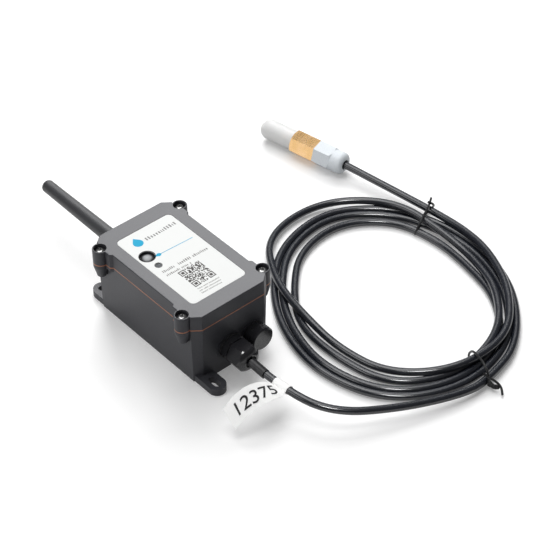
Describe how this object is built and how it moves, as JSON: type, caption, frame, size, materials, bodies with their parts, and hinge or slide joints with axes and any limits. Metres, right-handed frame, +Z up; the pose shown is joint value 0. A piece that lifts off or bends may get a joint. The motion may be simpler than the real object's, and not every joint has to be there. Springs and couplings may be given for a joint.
{
  "type": "temperature and humidity sensor",
  "caption": "Battery sensor box with lid button, side feet, rod antenna and cable gland; a coiled cable leads to a capped temperature and humidity probe.",
  "frame": {"origin": "centre of the housing's base on the surface it stands on", "axes": "+X across the housing towards the side without feet, +Y along it towards the antenna, +Z up out of the lid"},
  "size_m": [0.2193, 0.2935, 0.0486],
  "materials": {
    "housing_plastic": "fine-textured dark charcoal moulding",
    "gasket": "red-brown silicone rubber",
    "steel": "bright plated steel",
    "brass": "machined brass",
    "label_film": "white printed film",
    "black_plastic": "black moulding",
    "clear_plastic": "clear acrylic",
    "lamp": "tinted epoxy",
    "board": "green solder resist",
    "tin": "tinned shield",
    "terminal_green": "green moulding",
    "pale_plastic": "natural nylon",
    "cell_wrap": "plain shrink wrap",
    "wire_red": "red insulation",
    "gland_plastic": "dark nylon with a slight gloss",
    "rubber": "black rubber",
    "antenna_rubber": "satin black rubber",
    "cable_jacket": "glossy black jacket",
    "flag_film": "white tape",
    "tie_coat": "black coated wire",
    "grey_plastic": "pale grey nylon",
    "cap_plastic": "translucent white cap",
    "button_plastic": "pale grey moulding"
  },
  "bodies": {
    "housing": {"base_shell": "housing_plastic", "lid": "housing_plastic", "lid_gasket": "gasket", "lid_screws": "steel", "thread_inserts": "brass", "front_label": "label_film", "tactile_switch": "black_plastic", "status_window": "clear_plastic", "status_led": "lamp", "main_board": "board", "board_screws": "steel", "radio_module": "tin", "screw_terminal": "terminal_green", "battery_plug": "pale_plastic", "battery_cell": "cell_wrap", "battery_leads": "wire_red", "buffer_capacitor": "black_plastic", "sensor_leads": "wire_red", "gland_body": "gland_plastic", "gland_washer": "rubber", "gland_locknut": "gland_plastic", "gland_insert": "rubber", "gland_nut": "gland_plastic", "vent_plug": "gland_plastic", "vent_washer": "rubber", "vent_locknut": "gland_plastic", "antenna_connector": "brass", "antenna_washer": "steel", "antenna_nut": "brass", "antenna_collar": "brass", "antenna": "antenna_rubber", "antenna_pigtail": "cable_jacket", "cable_entry": "cable_jacket", "cable_sleeve": "cable_jacket", "cable_lead": "cable_jacket", "cable_coil": "cable_jacket", "cable_tail": "cable_jacket", "cable_flag": "flag_film", "coil_tie_upper": "tie_coat", "coil_tie_lower": "tie_coat", "probe_nut": "grey_plastic", "probe_seal": "rubber", "probe_cable_end": "cable_jacket", "probe_fitting": "brass", "probe_cap": "cap_plastic", "probe_board": "board", "probe_sensor": "black_plastic"},
    "button": {"act_button": "button_plastic", "switch_plunger": "black_plastic"}
  },
  "joints": [
    {"name": "button_press", "type": "slide", "parent": "housing", "child": "button", "axis": [0, 0, 1], "range_m": [-0.0006, 0], "stiffness_N_per_m": 600, "springref_m": 0.0004}
  ]
}
